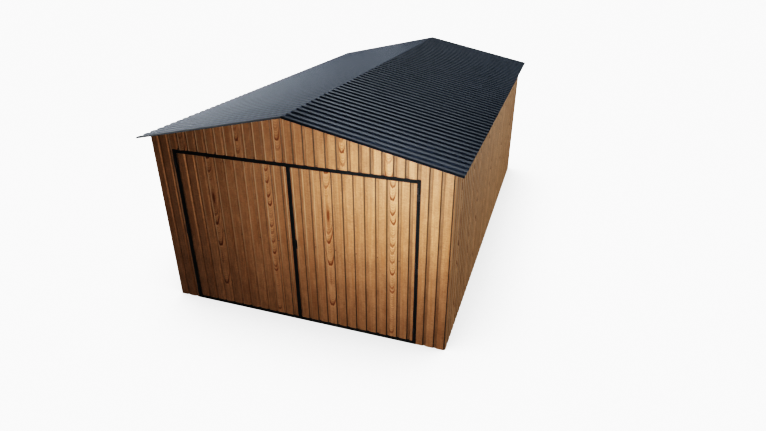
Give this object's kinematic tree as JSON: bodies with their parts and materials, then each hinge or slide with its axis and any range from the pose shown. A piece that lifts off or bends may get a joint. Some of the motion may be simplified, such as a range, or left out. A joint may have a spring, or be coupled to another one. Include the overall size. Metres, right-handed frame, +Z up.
{
  "type": "sheet-steel garage",
  "caption": "Single garage of profiled steel sheet with a wood-grain print, a gabled dark ribbed roof, a tube frame and a two-leaf swing gate in the front wall.",
  "frame": {"origin": "centre of the footprint on the ground", "axes": "+Z up, the gate faces -Y, +X to the right of someone who faces the gate"},
  "size_m": [3.6886, 6.222, 2.5192],
  "materials": {
    "wood_print_sheet": "satin, printed with plain wood grain",
    "roof_sheet": "satin",
    "black_steel": "satin",
    "black_fittings": "satin",
    "galvanised_tube": "zinc coated"
  },
  "bodies": {
    "root": {"base_rail_left": "galvanised_tube", "base_rail_right": "galvanised_tube", "base_rail_back": "galvanised_tube", "threshold": "black_steel", "corner_post_front_left": "galvanised_tube", "corner_post_front_right": "galvanised_tube", "corner_post_back_left": "galvanised_tube", "corner_post_back_right": "galvanised_tube", "side_post_left_1": "galvanised_tube", "side_post_left_2": "galvanised_tube", "side_post_right_1": "galvanised_tube", "side_post_right_2": "galvanised_tube", "back_post": "galvanised_tube", "eave_beam_left": "galvanised_tube", "eave_beam_right": "galvanised_tube", "ridge_beam": "galvanised_tube", "rafter_left_1": "galvanised_tube", "rafter_left_2": "galvanised_tube", "rafter_left_3": "galvanised_tube", "rafter_left_4": "galvanised_tube", "rafter_right_1": "galvanised_tube", "rafter_right_2": "galvanised_tube", "rafter_right_3": "galvanised_tube", "rafter_right_4": "galvanised_tube", "purlin_left": "galvanised_tube", "purlin_right": "galvanised_tube", "tie_beam_back": "galvanised_tube", "gate_post_left": "black_steel", "gate_post_right": "black_steel", "gate_header": "black_steel", "post_hinges": "black_fittings", "left_wall": "wood_print_sheet", "right_wall": "wood_print_sheet", "back_wall": "wood_print_sheet", "front_wall_left": "wood_print_sheet", "front_wall_right": "wood_print_sheet", "front_gable": "wood_print_sheet", "roof_left": "roof_sheet", "roof_right": "roof_sheet"},
    "left_leaf": {"left_leaf_frame": "black_steel", "left_leaf_skin": "wood_print_sheet", "left_leaf_hinges": "black_fittings"},
    "right_leaf": {"right_leaf_frame": "black_steel", "right_leaf_skin": "wood_print_sheet", "right_leaf_hinges": "black_fittings", "right_leaf_handle": "black_fittings"}
  },
  "joints": [
    {"name": "left_leaf_swing", "type": "hinge", "parent": "root", "child": "left_leaf", "pos_m": [-1.4475, -3.009, 0], "axis": [0, 0, -1], "range_deg": [0, 165]},
    {"name": "right_leaf_swing", "type": "hinge", "parent": "root", "child": "right_leaf", "pos_m": [1.3925, -3.009, 0], "axis": [0, 0, 1], "range_deg": [0, 165]}
  ]
}
